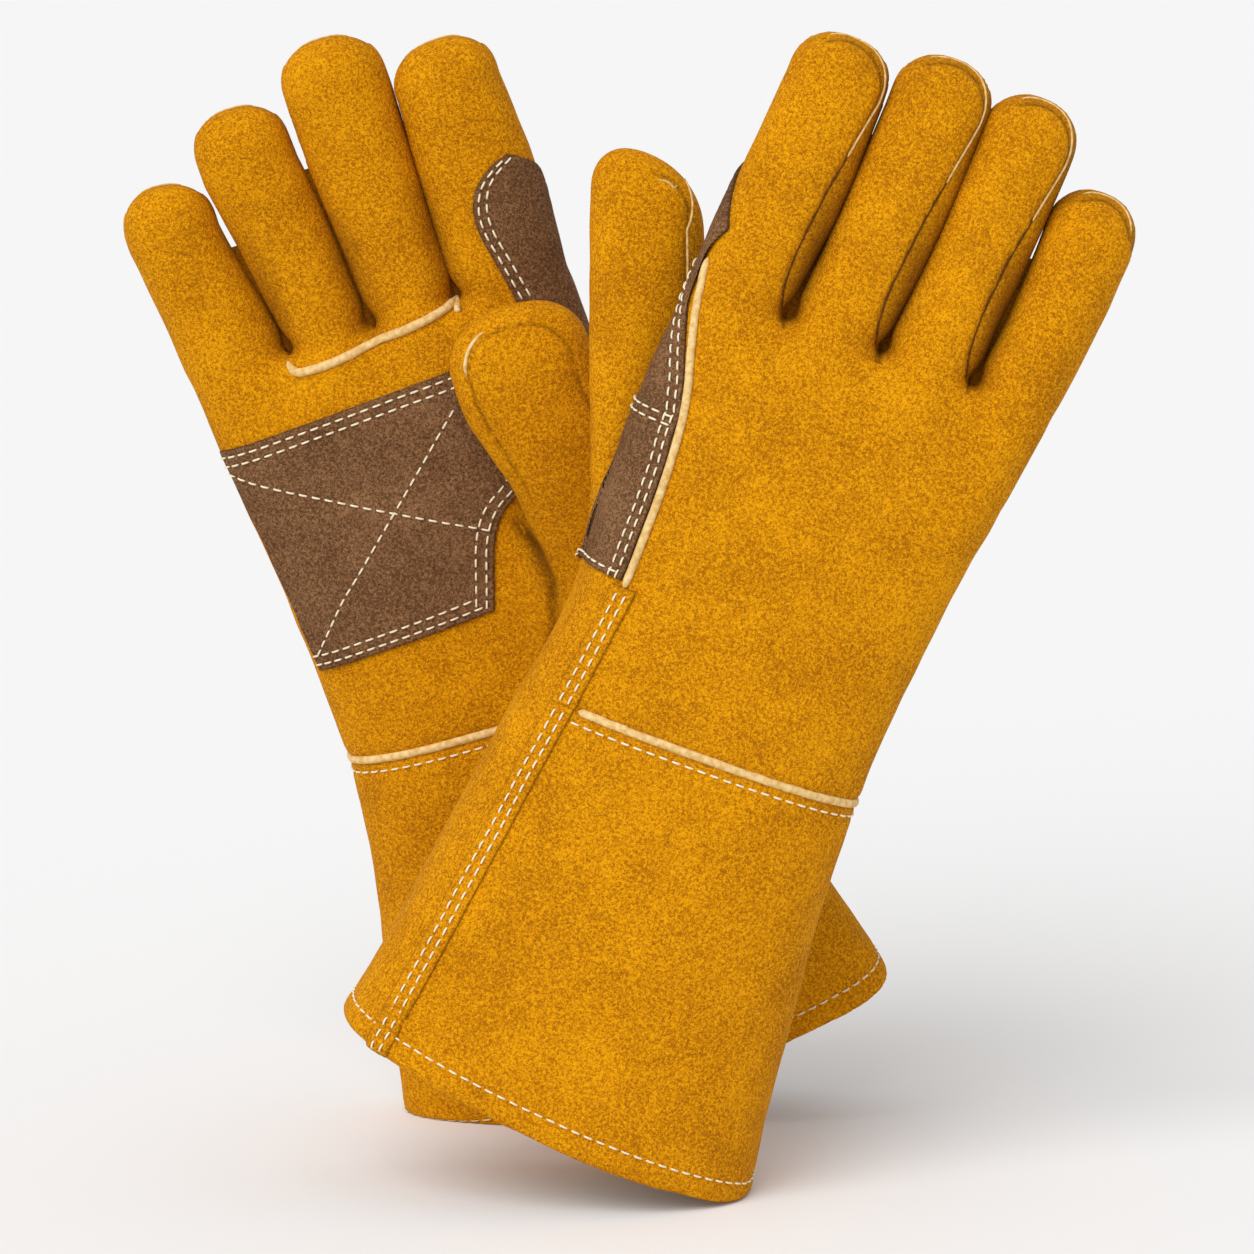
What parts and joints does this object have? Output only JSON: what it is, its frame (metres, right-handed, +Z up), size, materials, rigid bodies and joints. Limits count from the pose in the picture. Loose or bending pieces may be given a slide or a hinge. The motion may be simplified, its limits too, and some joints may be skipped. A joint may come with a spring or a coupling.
{
  "type": "welding gloves",
  "caption": "Pair of split-leather gauntlet welding gloves with flared cuffs, reinforced palm and thumb crotch, welted seams and fleece lining, crossed and standing on their hems.",
  "frame": {"origin": "on the floor, at the middle of the pair's footprint box", "axes": "+Z up, -Y towards the side from which the back of the near glove and the palm of the far glove are seen, +X to the right from there"},
  "size_m": [0.372, 0.2044, 0.4238],
  "materials": {
    "gold_split_suede": "napped split suede, matte",
    "gold_split_suede_gusset": "napped split suede, matte",
    "brown_split_suede": "napped split suede, matte",
    "welt_leather": "smooth leather piping, satin",
    "cuff_canvas": "plain canvas, matte",
    "hand_fleece": "brushed fleece, matte"
  },
  "bodies": {
    "far_cuff": {"far_cuff_back_panel": "gold_split_suede", "far_cuff_palm_panel": "gold_split_suede", "far_cuff_lining": "cuff_canvas", "far_hem_band": "gold_split_suede", "far_cuff_seam_strip": "gold_split_suede", "far_wrist_welt": "welt_leather"},
    "far_hand": {"far_hand_back_panel": "gold_split_suede", "far_palm_panel": "gold_split_suede", "far_hand_lining": "hand_fleece", "far_palm_patch": "brown_split_suede", "far_side_patch": "brown_split_suede", "far_edge_welt": "welt_leather", "far_hand_seam_strip": "gold_split_suede", "far_finger_base_welt": "welt_leather"},
    "far_index": {"far_index_back": "gold_split_suede", "far_index_front": "gold_split_suede", "far_index_fourchette": "gold_split_suede_gusset", "far_index_patch": "brown_split_suede"},
    "far_middle": {"far_middle_back": "gold_split_suede", "far_middle_front": "gold_split_suede", "far_middle_fourchette": "gold_split_suede_gusset"},
    "far_ring": {"far_ring_back": "gold_split_suede", "far_ring_front": "gold_split_suede", "far_ring_fourchette": "gold_split_suede_gusset"},
    "far_little": {"far_little_back": "gold_split_suede", "far_little_front": "gold_split_suede", "far_little_fourchette": "gold_split_suede_gusset"},
    "far_thumb": {"far_thumb_back": "gold_split_suede", "far_thumb_front": "gold_split_suede", "far_thumb_welt": "welt_leather"},
    "near_cuff": {"near_cuff_back_panel": "gold_split_suede", "near_cuff_palm_panel": "gold_split_suede", "near_cuff_lining": "cuff_canvas", "near_hem_band": "gold_split_suede", "near_cuff_seam_strip": "gold_split_suede", "near_wrist_welt": "welt_leather"},
    "near_hand": {"near_hand_back_panel": "gold_split_suede", "near_palm_panel": "gold_split_suede", "near_hand_lining": "hand_fleece", "near_palm_patch": "brown_split_suede", "near_side_patch": "brown_split_suede", "near_edge_welt": "welt_leather", "near_hand_seam_strip": "gold_split_suede", "near_finger_base_welt": "welt_leather"},
    "near_index": {"near_index_back": "gold_split_suede", "near_index_front": "gold_split_suede", "near_index_fourchette": "gold_split_suede_gusset", "near_index_patch": "brown_split_suede"},
    "near_middle": {"near_middle_back": "gold_split_suede", "near_middle_front": "gold_split_suede", "near_middle_fourchette": "gold_split_suede_gusset"},
    "near_ring": {"near_ring_back": "gold_split_suede", "near_ring_front": "gold_split_suede", "near_ring_fourchette": "gold_split_suede_gusset"},
    "near_little": {"near_little_back": "gold_split_suede", "near_little_front": "gold_split_suede", "near_little_fourchette": "gold_split_suede_gusset"},
    "near_thumb": {"near_thumb_back": "gold_split_suede", "near_thumb_front": "gold_split_suede", "near_thumb_welt": "welt_leather"}
  },
  "joints": [
    {"name": "far_wrist_bend", "type": "hinge", "parent": "far_cuff", "child": "far_hand", "pos_m": [-0.03439, 0.08592, 0.1652], "axis": [-0.9542, 0.0287, -0.2977], "range_deg": [0, 25]},
    {"name": "far_index_curl", "type": "hinge", "parent": "far_hand", "child": "far_index", "pos_m": [-0.0432, 0.02396, 0.32354], "axis": [0.9542, -0.0287, 0.2977], "range_deg": [0, 60]},
    {"name": "far_middle_curl", "type": "hinge", "parent": "far_hand", "child": "far_middle", "pos_m": [-0.07898, 0.02503, 0.31238], "axis": [0.9542, -0.0287, 0.2977], "range_deg": [0, 60]},
    {"name": "far_ring_curl", "type": "hinge", "parent": "far_hand", "child": "far_ring", "pos_m": [-0.11095, 0.026, 0.3024], "axis": [0.9542, -0.0287, 0.2977], "range_deg": [0, 60]},
    {"name": "far_little_curl", "type": "hinge", "parent": "far_hand", "child": "far_little", "pos_m": [-0.14483, 0.02701, 0.29184], "axis": [0.9542, -0.0287, 0.2977], "range_deg": [0, 60]},
    {"name": "far_thumb_spread", "type": "hinge", "parent": "far_hand", "child": "far_thumb", "pos_m": [-0.00912, 0.02419, 0.21164], "axis": [0, 0.9954, 0.0958], "range_deg": [0, 25]},
    {"name": "near_wrist_bend", "type": "hinge", "parent": "near_cuff", "child": "near_hand", "pos_m": [0.02079, -0.08583, 0.16611], "axis": [0.9385, -0.003, -0.3453], "range_deg": [0, 25]},
    {"name": "near_index_curl", "type": "hinge", "parent": "near_hand", "child": "near_index", "pos_m": [0.04133, -0.03793, 0.32724], "axis": [-0.9385, 0.003, 0.3453], "range_deg": [0, 60]},
    {"name": "near_middle_curl", "type": "hinge", "parent": "near_hand", "child": "near_middle", "pos_m": [0.07483, -0.03803, 0.31492], "axis": [-0.9385, 0.003, 0.3453], "range_deg": [0, 60]},
    {"name": "near_ring_curl", "type": "hinge", "parent": "near_hand", "child": "near_ring", "pos_m": [0.10843, -0.03814, 0.30255], "axis": [-0.9385, 0.003, 0.3453], "range_deg": [0, 60]},
    {"name": "near_little_curl", "type": "hinge", "parent": "near_hand", "child": "near_little", "pos_m": [0.14269, -0.03825, 0.28995], "axis": [-0.9385, 0.003, 0.3453], "range_deg": [0, 60]},
    {"name": "near_thumb_spread", "type": "hinge", "parent": "near_hand", "child": "near_thumb", "pos_m": [0.0027, -0.02822, 0.23577], "axis": [0, -1, 0.0087], "range_deg": [0, 12]},
    {"name": "near_glove_slide", "type": "slide", "parent": "far_cuff", "child": "near_cuff", "axis": [0, -1, 0], "range_m": [0, 0.15]}
  ]
}
